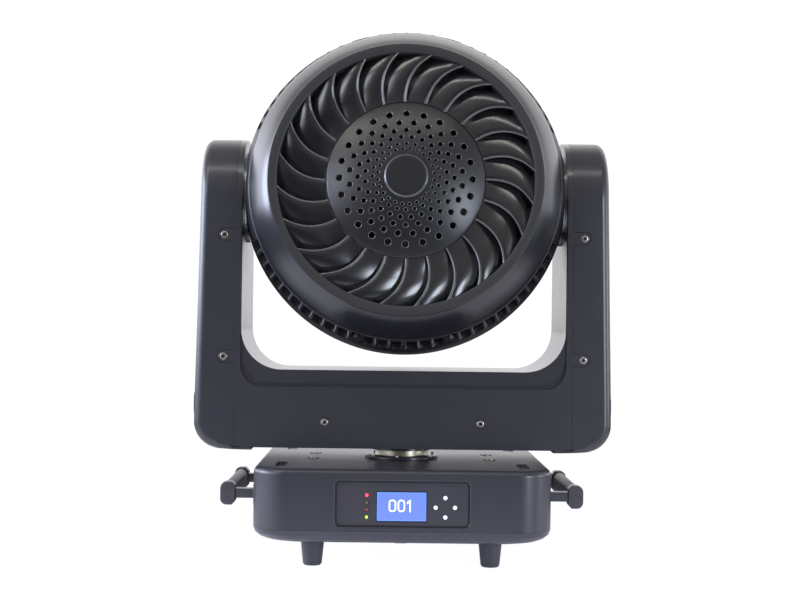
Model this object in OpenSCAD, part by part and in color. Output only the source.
// Moving head wash light: a base on four feet, a pan yoke, and a tilting drum head
// with a swirl vent at the back and a zooming lens array at the front.
// Millimetres. Origin on the floor under the pan axis, +Z up, display side at -Y, left at -X.

/* [Base] */
// Width of the base housing
base_w = 298; // [290:1:306]
// Depth of the base housing
base_d = 270; // [264:1:280]
// Plan corner radius of the base
base_r = 35; // [28:1:40]
// Underside of the base tray above the floor
base_z0 = 27.5; // [27:0.5:28]
// Height of the split between tray and housing
base_zs = 41; // [39:1:44]
// Top face of the base housing
base_z1 = 101.5; // [101.5:0.5:102]
// Wall thickness of the housing mouldings
wall = 3; // [2.5:0.5:3.5]

/* [Display] */
// Width of the display window
disp_w = 132; // [126:1:136]
// Height of the display window
disp_h = 45; // [44:1:48]
// Height of the display window's centre
disp_z = 68; // [67:1:70]
// Travel of a menu button (motion only, shapes no part)
btn_travel = 0.8; // [0.5:0.1:0.9]

/* [Clamp sockets] */
// Spacing of the quarter-turn sockets across the base
sock_x = 106; // [96:2:112]
// Spacing of the quarter-turn sockets along the base
sock_y = 110; // [90:2:116]
// Radius of a socket's hole
sock_r = 4.2; // [3.5:0.1:4.6]

/* [Yoke] */
// Half the gap between the arms
arm_in = 167.5; // [167.2:0.1:167.8]
// Half the width over the arms at the bottom
yoke_xb = 216; // [215:0.5:220]
// Half the width over the arms at the top
yoke_xt = 210.5; // [210.5:0.5:213]
// Half the depth of the yoke
yoke_y = 64.5; // [64.5:0.5:66]
// Underside of the yoke
yoke_z0 = 115.5; // [115.5:0.1:115.7]
// Top face of the crossbar
bar_z1 = 196; // [195:0.5:197]
// Radius of the opening's lower corners
open_r = 42; // [38:1:46]
// Height of the tilt axis
tilt_z = 378; // [378:0.5:380]
// Height of the centre of the arms' rounded tops
arm_z = 375; // [374:0.5:376]

/* [Head] */
// Tilt of the head at rest, its back looking up
rest_tilt = 7; // [0:1:10]
// Outer radius of the rear rim
rim_ro = 139.3; // [138:0.1:140]
// Inner radius of the rear rim
rim_ri = 129.4; // [129:0.1:130]
// Largest radius of the drum
drum_r = 169.5; // [168.5:0.1:170]
// Half the width over the drum's flats
flat_x = 164.5; // [164:0.1:164.5]
// Number of swirl vanes
vanes = 24; // [18:1:28]
// Holes in each ring of the vent disc
vent_holes = 24; // [18:2:24]
// Travel of the zoom carrier (motion only, shapes no part)
zoom_travel = 30; // [20:1:32]
// Lead of the zoom screws (motion only, shapes no part)
zoom_lead = 8; // [2:1:12]

/* [Hidden] */

eps = 0.01;                // overlap that joins touching shapes
fit = 0.03;                // radial clearance on shafts and in bearing seats
arc_steps = 12;

// Colours that several nodes share
moulding = [0.14, 0.14, 0.16];
yoke_black = [0.12, 0.12, 0.14];
motor_grey = [0.2, 0.2, 0.21];
bright_steel = [0.7, 0.7, 0.72];
bearing_steel = [0.75, 0.75, 0.77];
pulley_grey = [0.6, 0.6, 0.62];
chassis_grey = [0.5, 0.5, 0.52];
screw_brass = [0.62, 0.6, 0.55];
board_green = [0.1, 0.35, 0.18];

// Belt drives
pulley_big = 45;
pulley_small = 9.5;
pulley_h = 10;
pan_pulley_z = 136.4;      // underside of both pan pulleys
pan_motor_x = 105;         // pan motor's distance from the pan axis
tilt_drop = 112;           // tilt motor's distance below the tilt axis

// Shafts and bearings
pan_shaft_r = 25;
pan_bearing_r = 42;
pan_bearing_z = [120, 132];
tilt_shaft_r = 15;
tilt_bearing_r = 27;
tilt_bearing_x = [172.1, 181.5];

// ---------- shared outlines ----------
function arc(cx, cy, radius, start, end, steps = arc_steps) =
    [for (i = [0:steps]) let (angle = start + (end - start)*i/steps)
        [cx + radius*cos(angle), cy + radius*sin(angle)]];
function round_rect(width, depth, radius, steps = arc_steps) = concat(
    arc(width/2 - radius, depth/2 - radius, radius, 0, 90, steps),
    arc(-width/2 + radius, depth/2 - radius, radius, 90, 180, steps),
    arc(-width/2 + radius, -depth/2 + radius, radius, 180, 270, steps),
    arc(width/2 - radius, -depth/2 + radius, radius, 270, 360, steps));
// closed line round a big pulley at the origin and a small one at a distance along +x
function belt_line(big, small, distance) =
    let (lean = asin((big - small)/distance)) concat(
        arc(0, 0, big, 90 - lean, 270 + lean, 24),
        arc(distance, 0, small, -90 + lean, 90 - lean, 24));

// ---------- shared solids ----------
module slab(pts, z0, z1) translate([0, 0, z0]) linear_extrude(z1 - z0) polygon(pts);
// a plate standing in the XZ plane, from y0 to y1
module stand(pts, y0, y1)
    translate([0, y1, 0]) rotate([90, 0, 0]) linear_extrude(y1 - y0) polygon(pts);
// a prism along X of a profile drawn in (y, z)
module along_x(pts, x0, x1)
    translate([x0, 0, 0]) rotate([90, 0, 90]) linear_extrude(x1 - x0) polygon(pts);
module rod(radius, z0, z1)
    translate([0, 0, z0]) cylinder(r = radius, h = z1 - z0, $fn = 64);
module rod_x(radius, x0, x1)
    translate([x0, 0, 0]) rotate([0, 90, 0]) cylinder(r = radius, h = x1 - x0, $fn = 64);
module rod_y(radius, y0, y1)
    translate([0, y1, 0]) rotate([90, 0, 0]) cylinder(r = radius, h = y1 - y0, $fn = 64);
module tube(outer, inner, z0, z1) difference() {
    rod(outer, z0, z1);
    rod(inner, z0 - 1, z1 + 1);
}
module tube_x(outer, inner, x0, x1) difference() {
    rod_x(outer, x0, x1);
    rod_x(inner, x0 - 1, x1 + 1);
}
// a box between two opposite corners
module box(low, high) translate(low) cube(high - low);
// pan-head screw, its head's underside at z = 0 and its shank along +Z
module screw(radius, length) {
    cylinder(r = 0.5*radius, h = length, $fn = 24);
    translate([0, 0, -eps]) mirror([0, 0, 1]) difference() {
        translate([0, 0, -eps]) cylinder(r = radius, h = 0.6*radius, $fn = 32);
        translate([0, 0, 0.25*radius]) cylinder(r = 0.45*radius, h = radius, $fn = 6);
    }
}
// screw head standing on z = 0, with a hexagonal socket in its top
module socket_head(radius, height, socket_r, socket_z) difference() {
    cylinder(r = radius, h = height, $fn = 32);
    translate([0, 0, socket_z]) cylinder(r = socket_r, h = 2, $fn = 6);
}

// ---------- placing ----------
module four(x, y) for (i = [-1, 1], j = [-1, 1]) translate([i*x, j*y, 0]) children();
// a part at +X and its mirror image at -X
module both_sides() {
    children();
    mirror([1, 0, 0]) children();
}
// a part and its mirror image across the XZ plane
module front_and_rear() {
    children();
    mirror([0, 1, 0]) children();
}
module at_height(z) translate([0, 0, z]) children();
// turns a head part, drawn with the beam along +Z from the tilt axis, to its rest tilt
module head() translate([0, 0, tilt_z]) rotate([-90 - rest_tilt, 0, 0]) children();

// ---------- base ----------
floor_z = base_z0 + 3;     // top of the tray's floor
foot_x = 90;
foot_y = 87;
foot_screw_r = 2.6;
top_screw_x = 93;
top_screw_y = 27;
top_screw_sink = 1.6;
// lower edge of the tray: inset, height above its underside
tray_edge = [[17.5, 0], [11, 1.6], [5.5, 4.5], [1.6, 8.5], [0, base_zs - base_z0 - eps]];

psu_x0 = -120;             // sides of the power supply
psu_x1 = -48;
psu_z0 = base_z0 + 17;
psu_post_y = [-76, 88];

module base_tray() color([0.13, 0.13, 0.15]) {
    difference() {
        hull() for (step = tray_edge)
            slab(round_rect(base_w - 2*step[0], base_d - 2*step[0], base_r),
                base_z0 + step[1], base_z0 + step[1] + eps);
        slab(round_rect(base_w - 36, base_d - 36, base_r - 3), floor_z, base_zs + 1);
        four(sock_x/2, sock_y/2) rod(sock_r, base_z0 - 1, base_z0 + 4);
        four(foot_x, foot_y) rod(foot_screw_r, base_z0 - 1, base_z0 + 4);
        rod(7, base_z0 - 1, base_z0 + 4);
    }
    // posts under the power supply's feet
    for (x = [psu_x0, psu_x1], y = psu_post_y)
        box([x - 4, y - 4, floor_z - eps], [x + 4, y + 4, psu_z0]);
    // steel eye for the safety rope
    box([-6, -22, base_z0 - 16], [6, 22, base_z0 - 13]);
    front_and_rear() box([-6, 19, base_z0 - 16], [6, 22, base_z0 + eps]);
}
module base_housing() color([0.15, 0.15, 0.17]) difference() {
    slab(round_rect(base_w, base_d, base_r), base_zs + 0.2, base_z1);
    slab(round_rect(base_w - 2*wall, base_d - 2*wall, base_r - wall), base_zs, base_z1 - 3.5);
    // pan post, display and rear panel openings
    rod(29.6, base_z1 - 5, base_z1 + 1);
    at_height(disp_z)
        stand(round_rect(disp_w, disp_h, 5, 6), -base_d/2 - 1, -base_d/2 + wall + 1);
    at_height(rear_panel_z)
        stand(round_rect(206, 50, 5, 6), base_d/2 - wall - 1, base_d/2 + 1);
    // sunk screw seats and oblong recesses in the top face
    four(top_screw_x, top_screw_y) rod(7, base_z1 - top_screw_sink, base_z1 + 1);
    four(122, 88) slab(round_rect(11, 46, 5, 6), base_z1 - 2.2, base_z1 + 1);
    four(top_screw_x, top_screw_y) rod(2.1, base_z1 - 5, base_z1 + 1);
}
module rubber_feet() color([0.08, 0.08, 0.09]) four(foot_x, foot_y) difference() {
    union() {
        at_height(1.5) cylinder(r1 = 9.6, r2 = 12.2, h = base_z0 - 1.5, $fn = 48);
        cylinder(r1 = 8.3, r2 = 9.6, h = 1.5 + eps, $fn = 48);
    }
    rod(4.6, -1, 12);
    rod(foot_screw_r, 11, base_z0 + 1);
}
module clamp_sockets() color(bright_steel) four(sock_x/2, sock_y/2) difference() {
    union() {
        rod(11, floor_z, base_z0 + 6);
        rod(7, floor_z, base_z0 + 12);
    }
    rod(sock_r, base_z0, base_z0 + 13);
}
module base_screws() color([0.55, 0.55, 0.56]) {
    four(top_screw_x, top_screw_y)
        at_height(base_z1 - top_screw_sink) mirror([0, 0, 1]) screw(4, 9);
    // ring of screws on the pan post's flange
    for (angle = [22:60:359]) rotate([0, 0, angle])
        translate([36.6, 0, base_z1 + post_flange_h]) socket_head(1.5, 1.6, 0.7, 0.8);
}

// ---------- display ----------
panel_y = -base_d/2 + wall;   // inner face of the base's front wall
lcd_w = 49.8;
lcd_h = 29.8;
led_r = 1.5;
btn_r = 2.5;
// buttons' places about the centre of their cross, in (x, z)
btn_step = 9.5;
btn_up = [0, btn_step];
btn_down = [0, -btn_step];
btn_left = [-btn_step, 0];
btn_right = [btn_step, 0];
btn_places = [btn_up, btn_down, btn_left, btn_right];

module at_lcd() translate([-0.8, 0, disp_z - 2.6]) children();
module at_leds() for (k = [0:3]) translate([-35.1, 0, disp_z + 8.4 - 7.15*k]) children();
module at_button(place) translate([42.1 + place[0], 0, disp_z - 3 + place[1]]) children();

module display_panel() color([0.1, 0.1, 0.11]) difference() {
    at_height(disp_z)
        stand(round_rect(disp_w + 10, disp_h + 8, 5, 6), panel_y + 0.05, panel_y + 3);
    at_lcd() stand(round_rect(lcd_w + 0.4, lcd_h + 0.4, 1, 4), panel_y - 1, panel_y + 4);
    at_leds() rod_y(led_r + 0.1, panel_y - 1, panel_y + 4);
    for (place = btn_places) at_button(place) rod_y(btn_r + 0.2, panel_y - 1, panel_y + 4);
}
module lcd_module() color([0.35, 0.5, 0.95]) at_lcd() {
    stand(round_rect(lcd_w, lcd_h, 0.8, 4), panel_y + 0.6, panel_y + 3.1);
    stand(round_rect(58, 40, 1, 4), panel_y + 3.1, panel_y + 7);
}
module indicator_leds() color([0.9, 0.2, 0.2]) at_leds() {
    rod_y(led_r, panel_y, panel_y + 8);
    translate([0, panel_y, 0]) sphere(r = led_r, $fn = 32);
}
module control_board() color(board_green) {
    board_y0 = panel_y + 8;
    board_y1 = panel_y + 9.6;
    at_height(disp_z) stand(round_rect(130, 40, 2, 4), board_y0, board_y1);
    // button switches
    for (place = btn_places) at_button(place)
        box([-3, panel_y + 6.6, -3], [3, board_y0 + eps, 3]);
    // blocks on the board's inner face
    translate([-50, board_y1 - eps, disp_z]) cube([14, 4, 20]);
    translate([10, board_y1 - eps, disp_z - 12]) cube([22, 3, 22]);
}
// round key with a domed face and a collar behind the panel
module button(place) color([0.92, 0.92, 0.9]) at_button(place) {
    rod_y(btn_r, panel_y - 0.6, panel_y + 5.7);
    translate([0, panel_y - 0.6, 0]) intersection() {
        translate([0, 4.2, 0]) sphere(r = 5, $fn = 48);
        rod_y(btn_r, -0.9, 0.1);
    }
    rod_y(3.4, panel_y + 3.2, panel_y + 4.4);
}
module button_up() button(btn_up);
module button_down() button(btn_down);
module button_left() button(btn_left);
module button_right() button(btn_right);

// ---------- handles ----------
handle_x = 178;            // grip's axis
handle_z = 69.3;
handle_bar_r = 3.5;
// end boss in (x, z): rounded on the outside, cut flat on the inside
handle_boss = concat(
    arc(1.3, 5.3, 6.5, 0, 90, 6),
    [[-4.2, 11.8], [-7.8, 7.8], [-7.8, -7.8], [-4.2, -11.8]],
    arc(1.3, -5.3, 6.5, 270, 360, 6));

// die-cast carrying handle: two arms on foot plates, each ending in a tall boss, and a bar
module handle_right() color([0.12, 0.12, 0.14]) at_height(handle_z) {
    front_and_rear() {
        box([base_w/2, 61, -4.8], [172, 74, 4.8]);
        translate([handle_x, 0, 0]) stand(handle_boss, 61, 75);
        translate([base_w/2, 52, -11]) cube([2.6, 26, 22]);
    }
    translate([handle_x, 0, 0]) rotate([90, 0, 0])
        at_height(-61) cylinder(r = handle_bar_r, h = 122, $fn = 24);
}
module handle_left() mirror([1, 0, 0]) handle_right();
module handle_grip_right() color([0.09, 0.09, 0.1])
    translate([handle_x, 0, handle_z]) difference() {
        stand(concat(arc(0, 4, 6.4, 0, 180, 10), arc(0, -4, 6.4, 180, 360, 10)), -60.9, 60.9);
        rod_y(handle_bar_r + 0.05, -62, 62);
    }
module handle_grip_left() mirror([1, 0, 0]) handle_grip_right();

// ---------- power and connectors ----------
rear_y = base_d/2;         // outer face of the base's rear wall
rear_in_y = rear_y - wall; // its inner face
rear_panel_z = 70;
power_x = [-78, -44];
data_x = [36, 70];
fuse_x = -8;
power_r = 12;
data_r = 11;
fuse_r = 6.5;

module at_rear(x) translate([x, 0, rear_panel_z]) children();

module power_supply() color([0.75, 0.76, 0.77]) difference() {
    union() {
        box([psu_x0, -60, psu_z0], [psu_x1, 84, base_z0 + 62]);
        for (x = [psu_x0, psu_x1])
            box([x - 5, psu_post_y[0] - 4, psu_z0], [x + 5, psu_post_y[1] + 4, psu_z0 + 2]);
    }
    for (i = [0:6]) box([-112 + i*9, -61, base_z0 + 30], [-108 + i*9, -58.5, base_z0 + 55]);
}
module rear_panel() color([0.55, 0.56, 0.58]) difference() {
    at_height(rear_panel_z)
        stand(round_rect(218, 54, 5, 6), rear_in_y - 3, rear_in_y - 0.05);
    for (x = power_x) at_rear(x) rod_y(power_r + 0.2, 100, 150);
    for (x = data_x) at_rear(x) rod_y(data_r + 0.2, 100, 150);
    at_rear(fuse_x) rod_y(fuse_r + 0.2, 100, 150);
}
module power_connectors() color([0.2, 0.35, 0.7]) for (x = power_x) at_rear(x) difference() {
    union() {
        rod_y(power_r, rear_in_y - 25, rear_y + 1.5);
        stand(round_rect(28, 30, 3, 4), rear_in_y, rear_in_y + 1.6);
    }
    // ring-shaped socket round a core
    difference() {
        rod_y(9.6, 120, 150);
        rod_y(6, 119, rear_y);
    }
}
module data_connectors() color([0.3, 0.3, 0.32]) for (x = data_x) at_rear(x) difference() {
    union() {
        rod_y(data_r, rear_in_y - 22, rear_y + 1);
        stand(round_rect(26, 31, 3, 4), rear_in_y, rear_in_y + 1.6);
    }
    // socket round five pins
    difference() {
        rod_y(8.6, 122, 150);
        for (angle = [0:72:359]) rotate([0, angle, 0])
            translate([4.8, 0, 0]) rod_y(1.1, 120, rear_y - 1);
    }
}
module fuse_holder() color([0.08, 0.08, 0.08]) at_rear(fuse_x) difference() {
    union() {
        rod_y(fuse_r, rear_in_y - 30, rear_in_y + 1);
        rod_y(8.5, rear_in_y, rear_y + 1.5);
    }
    box([-7, rear_y + 0.3, -0.9], [7, rear_y + 3, 0.9]);
}

// ---------- pan post and pulleys ----------
post_flange_h = 2.5;

module pan_post() color([0.72, 0.68, 0.55]) difference() {
    union() {
        rod(39, base_z1, base_z1 + post_flange_h);
        rod(34.5, base_z1 + 2, 119.4);
        rod(pan_shaft_r, 119, 150);
        rod(29.4, base_z1 - 14, base_z1 + 1);
        rod(33, base_z1 - 14, base_z1 - 3.6);
    }
    rod(18, base_z1 - 20, 155);
}
// flanged pulley standing on z = 0; a large one has six lightening holes
module pulley_body(radius, bore) difference() {
    union() {
        rod(radius, 0, pulley_h);
        rod(radius + 2.5, 0, 0.8);
        rod(radius + 2.5, pulley_h - 0.8, pulley_h);
    }
    rod(bore, -1, pulley_h + 1);
    if (radius > 20) for (angle = [0:60:359]) rotate([0, 0, angle])
        translate([(radius + bore)/2, 0, 0]) rod(5.5, -1, pulley_h + 1);
}
module pan_fixed_pulley() color(pulley_grey)
    at_height(pan_pulley_z) pulley_body(pulley_big, pan_shaft_r + fit);

// ---------- yoke ----------
seam_x = 174;              // seam between the side covers and the face plates
plate_y = 61;              // recessed face of the yoke frame
frame_x = 171.5;           // outer face of the frame's arm webs
side_slope = (yoke_xb - yoke_xt)/(430 - 165);
cover_screw_x = 185.6;
cover_screw_z = [334.4, 209.1];
bar_screw_x = 80.3;        // face screws on the crossbar
bar_screw_z = 142.2;
yoke_screw_sink = 1.6;

// outline of the right-hand side cover in (x, z), drawn in by inset
function cover_pts(inset) = let (top_x = yoke_xt - inset) concat(
    [[seam_x, 460]],
    [[top_x - 8, 460]],
    arc(top_x - 11 - side_slope*10, 428.5 - inset, 11, 90, 3, 8),
    arc(yoke_xb - 28, 141.6, 28 - inset, 0, -88, 10),
    inset > 0
        ? [[seam_x, 113.4 + inset]]
        : [[156, 112.6], [156, yoke_z0 - 0.15], [seam_x, yoke_z0 - 0.15]]);
// side view of an arm in (y, z): a straight bar with a round top just below the tilt axis
function arm_side(inset, z0 = 100) = let (half = yoke_y - inset)
    concat([[half, z0]], arc(0, arm_z, half, 0, 180, 24), [[-half, z0]]);
// tongue of a face plate that reaches the right-hand cover screw at height z
function tongue(z, gap = 0) = concat(
    [[seam_x - 1, z - 6.4 - gap]],
    arc(cover_screw_x, z, 6.4 + gap, -90, 90, 10),
    [[seam_x - 1, z + 6.4 + gap]]);
// opening between the arms in (x, z), its floor at z, with lower corners of the radius given
function opening(x, z, radius, steps = 12) = concat(
    [[x, 500]],
    arc(x - radius, z + radius, radius, 0, -90, steps),
    arc(-x + radius, z + radius, radius, -90, -180, steps),
    [[-x, 500]]);
frame_opening = opening(arm_in, bar_z1, open_r);
// front view of the yoke between the seams, up to the arms' round tops
face_pts = [[-seam_x + 0.2, yoke_z0], [seam_x - 0.2, yoke_z0],
    [seam_x - 0.2, arm_z], [-seam_x + 0.2, arm_z]];

module yoke_cover_right() color(moulding) difference() {
    intersection() {
        stand(cover_pts(0), -yoke_y, yoke_y);
        along_x(arm_side(0), 150, 230);
    }
    intersection() {
        stand(cover_pts(wall), -yoke_y + wall, yoke_y - wall);
        along_x(arm_side(wall), seam_x - 1, 230);
    }
    // open the side that meets the frame
    intersection() {
        along_x(arm_side(wall + 0.6), seam_x - 3, seam_x + 5);
        stand([[seam_x - 3, yoke_z0 + 1], [seam_x + 5, yoke_z0 + 1],
            [seam_x + 5, 460], [seam_x - 3, 460]], -60, 60);
    }
    for (z = cover_screw_z) {
        stand(tongue(z, 0.25), -yoke_y - 1, -yoke_y + wall + 1);
        stand(tongue(z, 0.25), yoke_y - wall - 1, yoke_y + 1);
    }
    box([150, -70, yoke_z0 - 0.2], [seam_x, 70, 470]);
}
module yoke_cover_left() mirror([1, 0, 0]) yoke_cover_right();

// hole through a face plate with a sunk seat for the screw's head
module plate_screw_hole(seat_r) {
    rod_y(2.2, -70, -50);
    rod_y(seat_r, -70, -yoke_y + yoke_screw_sink);
}
module yoke_plate_front() color(yoke_black) difference() {
    union() {
        stand(face_pts, -yoke_y, -plate_y - 0.05);
        both_sides() for (z = cover_screw_z) stand(tongue(z), -yoke_y, -plate_y - 0.05);
    }
    stand(opening(arm_in + 0.6, 178.3, 22, 10), -yoke_y - 1, -plate_y + 1);
    both_sides() {
        for (z = cover_screw_z) translate([cover_screw_x, 0, z]) plate_screw_hole(4.6);
        translate([bar_screw_x, 0, bar_screw_z]) plate_screw_hole(5.2);
    }
}
module yoke_plate_rear() mirror([0, 1, 0]) yoke_plate_front();

// hollow liner round the opening, open towards the side covers
module frame_liner() difference() {
    stand(face_pts, -plate_y, plate_y);
    stand(frame_opening, -80, 80);
    difference() {
        stand([[-frame_x, yoke_z0 + 4], [frame_x, yoke_z0 + 4],
            [frame_x, 500], [-frame_x, 500]], -plate_y + 3.5, plate_y - 3.5);
        stand(opening(arm_in + 4, bar_z1 - 4, open_r + 4), -80, 80);
    }
    both_sides() box([frame_x, -plate_y + 3.5, yoke_z0 + 4], [180, plate_y - 3.5, 500]);
}
// round top of the right-hand arm: a web, a rim outside it and the tilt bearing's boss
module frame_arm_top() {
    intersection() {
        along_x(arm_side(0.1, 340), arm_in, frame_x);
        box([160, -80, arm_z], [180, 80, 460]);
    }
    difference() {
        intersection() {
            along_x(arm_side(0.1, 340), 171, seam_x - 0.2);
            box([160, -80, arm_z], [180, 80, 460]);
        }
        along_x(arm_side(3.2, 340), 160, 190);
    }
    at_height(tilt_z) rod_x(32, 171, 182.5);
}
// raised lip round the bottom of the opening, on the front face
module frame_lip() {
    lip_x = arm_in + 0.5;
    lip_z = 236;
    difference() {
        stand(concat([[lip_x, lip_z]],
            [for (point = opening(lip_x, 182.4, 30)) if (point[1] < lip_z) point],
            [[-lip_x, lip_z]]), -plate_y - 1.5, -plate_y + 0.5);
        stand(frame_opening, -80, 80);
    }
}
module yoke_frame() color([0.3, 0.3, 0.32]) difference() {
    union() {
        frame_liner();
        both_sides() frame_arm_top();
        front_and_rear() frame_lip();
        // pan bearing housing, pan motor shelf and tilt motor pad
        rod(47, yoke_z0 + 3, 133);
        box([70, -plate_y + 3, 149], [140, plate_y - 3, 152]);
        box([-171.6, -20, 231], [-170, 20, 301]);
    }
    rod(36.5, yoke_z0 - 1, 121);
    rod(pan_bearing_r + 0.05, 119.9, 140);
    translate([pan_motor_x, 0, 0]) rod(12.5, 148, 153);
    both_sides() at_height(tilt_z) {
        rod_x(22, 160, 190);
        rod_x(tilt_bearing_r + fit, 172, 190);
    }
}
module yoke_screws() color(screw_brass) front_and_rear() both_sides() {
    seat_y = -yoke_y + yoke_screw_sink;
    for (z = cover_screw_z)
        translate([cover_screw_x, seat_y, z]) rotate([-90, 0, 0]) screw(3.7, 6);
    translate([bar_screw_x, seat_y, bar_screw_z]) rotate([-90, 0, 0]) screw(3.7, 1.8);
}
// wear pads on the outer faces, near the bottom corners
module side_pads() color([0.2, 0.2, 0.22]) both_sides() intersection() {
    at_height(159) rotate([90, 0, 90])
        at_height(205) linear_extrude(20) polygon(round_rect(90, 25, 8, 8));
    difference() {
        stand([[yoke_xb - 3, 100], [yoke_xb + 2, 100], [yoke_xb + 2, 165],
            [yoke_xb + 1.6, 200], [yoke_xb - 3, 200]], -60, 60);
        stand(cover_pts(0), -100, 100);
    }
}
module pan_bearing() color(bearing_steel) {
    tube(31, pan_shaft_r + fit, pan_bearing_z[0], pan_bearing_z[1]);
    tube(pan_bearing_r, 36, pan_bearing_z[0], pan_bearing_z[1]);
    for (angle = [0:30:359]) rotate([0, 0, angle])
        translate([33.5, 0, 126]) sphere(r = 2.45, $fn = 32);
}
module tilt_bearings() color(bearing_steel) both_sides() at_height(tilt_z) {
    tube_x(19, tilt_shaft_r + fit, tilt_bearing_x[0], tilt_bearing_x[1]);
    tube_x(tilt_bearing_r, 23.4, tilt_bearing_x[0], tilt_bearing_x[1]);
    for (angle = [0:40:359]) rotate([angle, 0, 0])
        translate([176.8, 0, 21.2]) sphere(r = 2.1, $fn = 32);
}

// ---------- pan and tilt drives ----------
// square motor with its mounting face at z = 0, bored from there for the shaft
module motor_body(height) difference() {
    union() {
        slab(round_rect(56, 56, 5, 5), 0, height);
        rod(19, -0.1, height);
    }
    rod(3.22, -2, height - 4);
    four(23.5, 23.5) rod(2.5, -1, 5);
}
// small pulley on its motor shaft
module drive_pulley() {
    pulley_body(pulley_small, 2);
    rod(3.17, -2, pulley_h + 18);
}
module drive_belt(distance) difference() {
    slab(belt_line(pulley_big + 1.7, pulley_small + 1.7, distance), 1, pulley_h - 1);
    slab(belt_line(pulley_big + 0.2, pulley_small + 0.2, distance), 0, pulley_h);
}
module pan_motor() color(motor_grey) translate([pan_motor_x, 0, 152.2]) motor_body(37);
module pan_drive_pulley() color(bright_steel)
    translate([pan_motor_x, 0, pan_pulley_z]) drive_pulley();
module pan_belt() color([0.1, 0.1, 0.1]) at_height(pan_pulley_z) drive_belt(pan_motor_x);

// the tilt drive lies in the left arm: +Z points along -X, +X points up
module left_drive() translate([-195, 0, tilt_z]) rotate([0, -90, 0]) children();
module tilt_motor() color(motor_grey) left_drive()
    translate([-tilt_drop, 0, -2.2]) mirror([0, 0, 1]) motor_body(20);
module tilt_drive_pulley() color(bright_steel) left_drive()
    translate([-tilt_drop, 0, pulley_h]) mirror([0, 0, 1]) drive_pulley();
module tilt_belt() color([0.1, 0.1, 0.1]) left_drive()
    rotate([0, 0, 180]) drive_belt(tilt_drop);
module tilt_driven_pulley() color(pulley_grey) left_drive()
    pulley_body(pulley_big, tilt_shaft_r + fit);
// circuit board in the right arm, with blocks on its inner face
module driver_board() color(board_green) {
    board_x = 196;
    box([board_x, -42, 200], [board_x + 1.6, 42, 320]);
    for (z = [215, 250, 285]) box([188, -20, z], [board_x + eps, 4, z + 22]);
    box([186, 14, 214], [board_x + eps, 34, 300]);
}

// ---------- head shells, drawn with the beam along +Z ----------
shell_z0 = -105;           // rear face of the rim, along the optical axis
split_z = -74;             // joint between the head's shells
slot_z = [-72, -53];       // ends of the louvre slots, along the optical axis
lug_angle = 17.5;          // shell screws' angle from the head's top and bottom
lug_z = -60;               // rear face of the lugs
chassis_x = 157.4;         // outer faces of the chassis walls
boss_r = 19.9;             // trunnion boss inside the head
flange_screw_rad = 36;     // circle of screws on a trunnion's flange

// outline of the shells from the rim to the lens side: radius, place along the axis
shell_pts = [
    [rim_ro, -104], [145, -97.5], [150.5, -90], [157, -80], [160.2, split_z],
    [162.2, -70], [165.7, -60], [168, -50], [drum_r - 0.3, -40], [drum_r, -30],
    [drum_r - 0.5, -15], [drum_r - 1.7, 0], [drum_r - 3.6, 15], [drum_r - 6.1, 30],
    [160.6, 42], [157.4, 54], [153.9, 66.5], [150.9, 78], [149.4, 85.5]];
rear_last = 4;             // the last of those points on the rear shell
front_pts = concat([shell_pts[rear_last] + [0, 0.2]],
    [for (i = [rear_last + 1:len(shell_pts) - 1]) shell_pts[i]]);

// block that cuts a drum to half-width x
module flats(x) box([-x, -200, -200], [x, 200, 200]);
// side walls that close a drum of outline pts where the flats cut it
module flat_walls(pts, z0, z1) intersection() {
    rotate_extrude($fn = 128)
        polygon(concat([[0, pts[0][1]]], pts, [[0, pts[len(pts) - 1][1]]]));
    both_sides() box([flat_x - 3, -90, z0], [flat_x, 90, z1]);
}
// children at the four shell screws, drawn along +X
module at_lugs() for (q = [90, 270], i = [-1, 1]) rotate([0, 0, q + i*lug_angle]) children();
module louvre_slot() box([140, -4.6, slot_z[0]], [180, 4.6, slot_z[1]]);

module head_rear_shell() color(moulding) head()
    rotate_extrude($fn = 128) polygon(concat(
        [[rim_ri, shell_z0], [rim_ro - 1, shell_z0]],
        [for (i = [0:rear_last]) shell_pts[i]],
        [for (i = [rear_last:-1:1]) shell_pts[i] - [3, 0]],
        [[rim_ri + 5, shell_z0 + 5], [rim_ri + 3, shell_z0 + 33], [rim_ri, shell_z0 + 33]]));
module head_front_shell() color(moulding) head() {
    difference() {
        union() {
            intersection() {
                rotate_extrude($fn = 128) polygon(concat(
                    [front_pts[0] - [7, 0]], front_pts,
                    [for (i = [len(front_pts) - 1:-1:2]) front_pts[i] - [3.2, 0]],
                    [front_pts[0] + [-3.2, 5], front_pts[0] + [-7, 5]]));
                flats(flat_x);
            }
            flat_walls(front_pts, split_z + 8, 40);
        }
        // louvre slots in each quarter, and between the shell screws
        for (q = [0:90:270], k = [0:9]) rotate([0, 0, q + 22.5 + 5*k]) louvre_slot();
        for (q = [90, 270], k = [-2.5:1:2.5]) rotate([0, 0, q + 5*k]) louvre_slot();
        // pockets over the shell screws
        at_lugs() box([140, -4.6, split_z - 1], [180, 4.6, lug_z]);
        both_sides() rod_x(20.2, 140, 175);
    }
    // lugs that take the shell screws
    at_lugs() box([156, -5.6, lug_z], [164, 5.6, lug_z + 6]);
}
// deck that carries the light engine, with a wall to each trunnion
module head_chassis() color(chassis_grey) head() difference() {
    union() {
        intersection() {
            rod(160, -3.5, 0);
            flats(158);
        }
        both_sides() box([147, -30, -24], [chassis_x, 30, 24]);
    }
    rod(119, -5, 1);
    for (i = [-1, 1]) translate([0, i*zoom_rad, 0]) rod(3.6, -5, 1);
    both_sides() rod_x(boss_r + 0.15, 140, 175);
}
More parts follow.
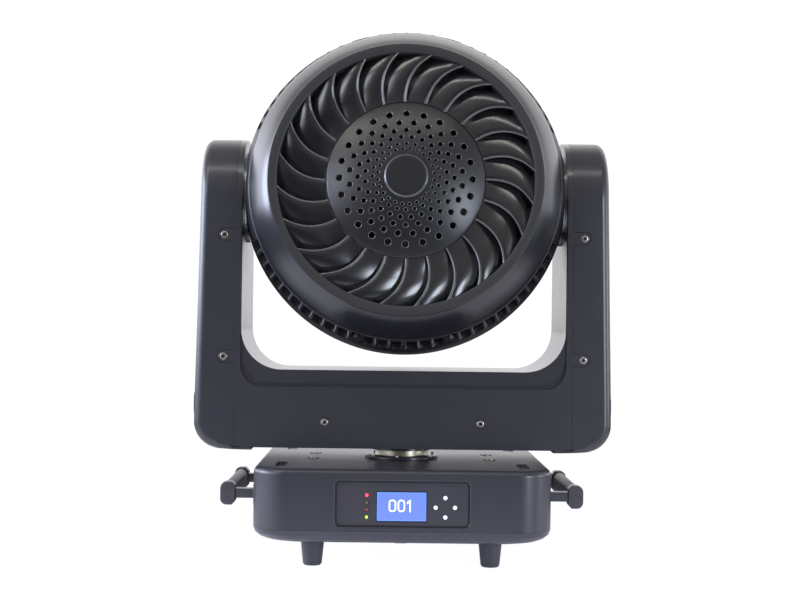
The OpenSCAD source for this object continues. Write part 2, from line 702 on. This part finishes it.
// the left shaft is longer, to carry the driven pulley
module trunnion(shaft_end) difference() {
    union() {
        rod_x(48, 164.6, 167.2);
        rod_x(boss_r, 147, 165);
        rod_x(tilt_shaft_r, 165, shaft_end);
    }
    rod_x(9, 140, 220);
    for (angle = [0:60:359]) rotate([angle + 30, 0, 0])
        at_height(flange_screw_rad) rod_x(2.5, 160, 170);
}
module trunnions() color(chassis_grey) at_height(tilt_z) {
    trunnion(190);
    mirror([1, 0, 0]) trunnion(206.5);
}
module head_screws() color(screw_brass) head() {
    // on the lugs at the joint between the shells
    at_lugs() translate([162, 0, lug_z - 0.02]) mirror([0, 0, 1])
        socket_head(2.1, 1.5, 1, 0.7);
    // in the trunnions' flanges, which aren't turned with the head
    both_sides() for (angle = [0:60:359]) rotate([angle + 30 + 90 + rest_tilt, 0, 0])
        at_height(flange_screw_rad) rod_x(2.4, 164.6, 167.1);
}

// ---------- rear vent ----------
// point on a vane, t from 0 at its root to 1 at its tip; side is 1 or -1 for its two faces
function vane_pt(t, side) = let (
    radius = 83 + 44.5*t,
    sweep = 5 - 11*pow(t, 1.7),
    half_angle = side*0.9/radius*57.3)
    [radius*cos(sweep + half_angle), -radius*sin(sweep + half_angle)];

module swirl_grille() color([0.1, 0.1, 0.11]) head() {
    tube(84, 81, -97, -74);
    tube(129.2, 126.6, -100, -71);
    tube(112, 82, -77, -74);
    for (k = [0:vanes - 1]) rotate([0, 0, -360/vanes*(k + 0.5)])
        slab(concat([for (i = [0:8]) vane_pt(i/8, 1)],
            [for (i = [8:-1:0]) vane_pt(i/8, -1)]), -99, -76);
}

// rings of holes in the vent disc, from the outside in
ring_r = [67, 56.8, 48.4, 41, 33.6, 28.4];
hole_r = [3.1, 2.7, 2.3, 2.1, 1.55, 1.35];
dome_r = 188.6;
dome_crown_z = -115;
// place along the axis of the dome at a radius, drawn in by inset
function dome_z(radius, inset = 0) =
    dome_crown_z + dome_r - sqrt(pow(dome_r - inset, 2) - radius*radius);
// radii where the dome's facets meet, midway between the rings of holes
bands = concat([80.4, 73], [for (j = [0:4]) (ring_r[j] + ring_r[j + 1])/2], [22, 6]);

module vent_disc() color([0.16, 0.16, 0.17]) head() difference() {
    rotate_extrude($fn = 128) polygon(concat(
        [for (radius = bands) [radius, dome_z(radius)]],
        [for (j = [8:-1:1]) [bands[j], dome_z(bands[j], 2.5)]],
        [[77.6, -94], [77.6, -86], [80.4, -86]]));
    // alternate rings are turned by half a pitch
    for (j = [0:5], k = [0:vent_holes - 1]) rotate([0, 0, 360/vent_holes*(k + (j%2)/2)])
        translate([ring_r[j], 0, 0]) rod(hole_r[j], -120, -90);
}
module vent_cap() color([0.18, 0.18, 0.19]) head() rotate_extrude($fn = 64)
    polygon([[0, -116.6], [20.6, -116.6], [22.1, -115.9], [22.1, -113.9],
        [6, -115.15], [5.9, -115.15], [5.9, -106], [0, -106]]);

// ---------- fan and light engine ----------
module fan_frame() color([0.07, 0.07, 0.08]) head() difference() {
    slab(round_rect(110, 110, 8, 4), -92, -67);
    rod(53, -93, -69.5);
    // the front opening leaves a hub on four spokes
    difference() {
        rod(53, -70, -66);
        rod(22, -71, -65);
        for (angle = [45:90:359]) rotate([0, 0, angle]) box([15, -3, -71], [60, 3, -65]);
    }
    rod(3.05, -75, -65);
    four(47.5, 47.5) rod(2.2, -93, -66);
}
module fan_rotor() color([0.05, 0.05, 0.06]) head() {
    difference() {
        rod(20, -91, -72);
        rod(17, -89, -71);
    }
    rod(3, -90, -68);
    for (k = [0:6]) rotate([0, 0, 360/7*k]) translate([35, 0, -81.5])
        rotate([35, 0, 0]) cube([32, 1.6, 19], center = true);
}
module heat_sink() color(bright_steel) head() {
    rod(118, -12, -4.2);
    tube(126, 118 - eps, -12, -3.5);
    // fins, each as long as its chord of a circle of radius 113
    for (k = [-9:9]) let (x = k*11.5, half = sqrt(113*113 - x*x))
        box([x - 1, -half, -60], [x + 1, half, -12 + eps]);
}

// hexagonal array of lenses: a centre one and three rings, in (x, y)
lens_pitch = 38;
lens_places = concat([[0, 0]], [for (ring = [1:3], side = [0:5], k = [0:ring - 1])
    let (out = 60*side, along = out + 120)
        lens_pitch*[ring*cos(out) + k*cos(along), ring*sin(out) + k*sin(along)]]);
module at_lenses() for (place = lens_places) translate([place[0], place[1], 0]) children();

module led_board() color([0.9, 0.9, 0.85]) head() {
    rod(117.6, -4.1, -1.1);
    at_lenses() translate([-3, -3, -1.1 - eps]) cube([6, 6, 2.4]);
}

// ---------- zoom and lenses ----------
zoom_rad = 142;            // zoom screws' and guide rods' distance from the optical axis
zoom_rod_r = 3;

module lens_carrier() color([0.08, 0.08, 0.09]) head() difference() {
    union() {
        rod(136, 20, 23);
        // the bosses on the screws are taller than those on the guide rods
        for (angle = [0:90:359]) rotate([0, 0, angle]) translate([zoom_rad, 0, 0])
            rod(9, 20, angle == 90 || angle == 270 ? 28 : 26);
    }
    at_lenses() rod(12.2, 19, 24);
    for (angle = [0:90:359]) rotate([0, 0, angle])
        translate([zoom_rad, 0, 0]) rod(zoom_rod_r + 0.05, 10, 40);
    // clear of the chassis walls
    both_sides() box([146.4, -30, 15], [170, 30, 35]);
}
module lens_array() color([0.85, 0.9, 0.95]) head() at_lenses() {
    rod(18.4, 27, 36);
    at_height(14) cylinder(r1 = 7.5, r2 = 12, h = 9.05, $fn = 48);
    at_height(23.02) cylinder(r1 = 14, r2 = 18.4, h = 4.1, $fn = 48);
}
module zoom_screw(y) color(bright_steel) head() translate([0, y, 0]) {
    rod(zoom_rod_r, -14, 66);
    rod(5, 1.2, 8);
}
module zoom_screw_upper() zoom_screw(-zoom_rad);
module zoom_screw_lower() zoom_screw(zoom_rad);
// the two motors behind the deck, and the guide rods at the sides
module zoom_motors() color(motor_grey) head() {
    for (i = [-1, 1]) translate([0, i*zoom_rad, 0]) difference() {
        slab(round_rect(28, 28, 3, 4), -26, -3.6);
        rod(zoom_rod_r + 0.05, -15, -3);
    }
    for (i = [-1, 1]) translate([i*zoom_rad, 0, 0]) rod(zoom_rod_r, 0, 78);
}

// ---------- head front ----------
bezel_r = 146;
window_r = 137;
window_z = [84, 87];

module front_bezel() color([0.12, 0.12, 0.13]) head() difference() {
    union() {
        rod(bezel_r, 85.7, 94);
        tube(bezel_r, window_r, 82, 86);
    }
    rod(134, 80, 100);
    rod(window_r + 0.1, 80, window_z[1] + 0.1);
}
module front_window() color([0.85, 0.9, 0.92]) head()
    rod(window_r, window_z[0], window_z[1]);

base_tray();
base_housing();
rubber_feet();
clamp_sockets();
base_screws();
display_panel();
lcd_module();
indicator_leds();
control_board();
button_up();
button_down();
button_left();
button_right();
handle_left();
handle_right();
handle_grip_left();
handle_grip_right();
power_supply();
rear_panel();
power_connectors();
data_connectors();
fuse_holder();
pan_post();
pan_fixed_pulley();
yoke_frame();
yoke_cover_left();
yoke_cover_right();
yoke_plate_front();
yoke_plate_rear();
yoke_screws();
side_pads();
pan_bearing();
tilt_bearings();
pan_motor();
pan_drive_pulley();
pan_belt();
tilt_motor();
tilt_drive_pulley();
tilt_belt();
driver_board();
head_rear_shell();
swirl_grille();
vent_disc();
vent_cap();
head_front_shell();
head_chassis();
trunnions();
tilt_driven_pulley();
head_screws();
fan_frame();
fan_rotor();
heat_sink();
led_board();
lens_carrier();
lens_array();
zoom_screw_upper();
zoom_screw_lower();
zoom_motors();
front_bezel();
front_window();
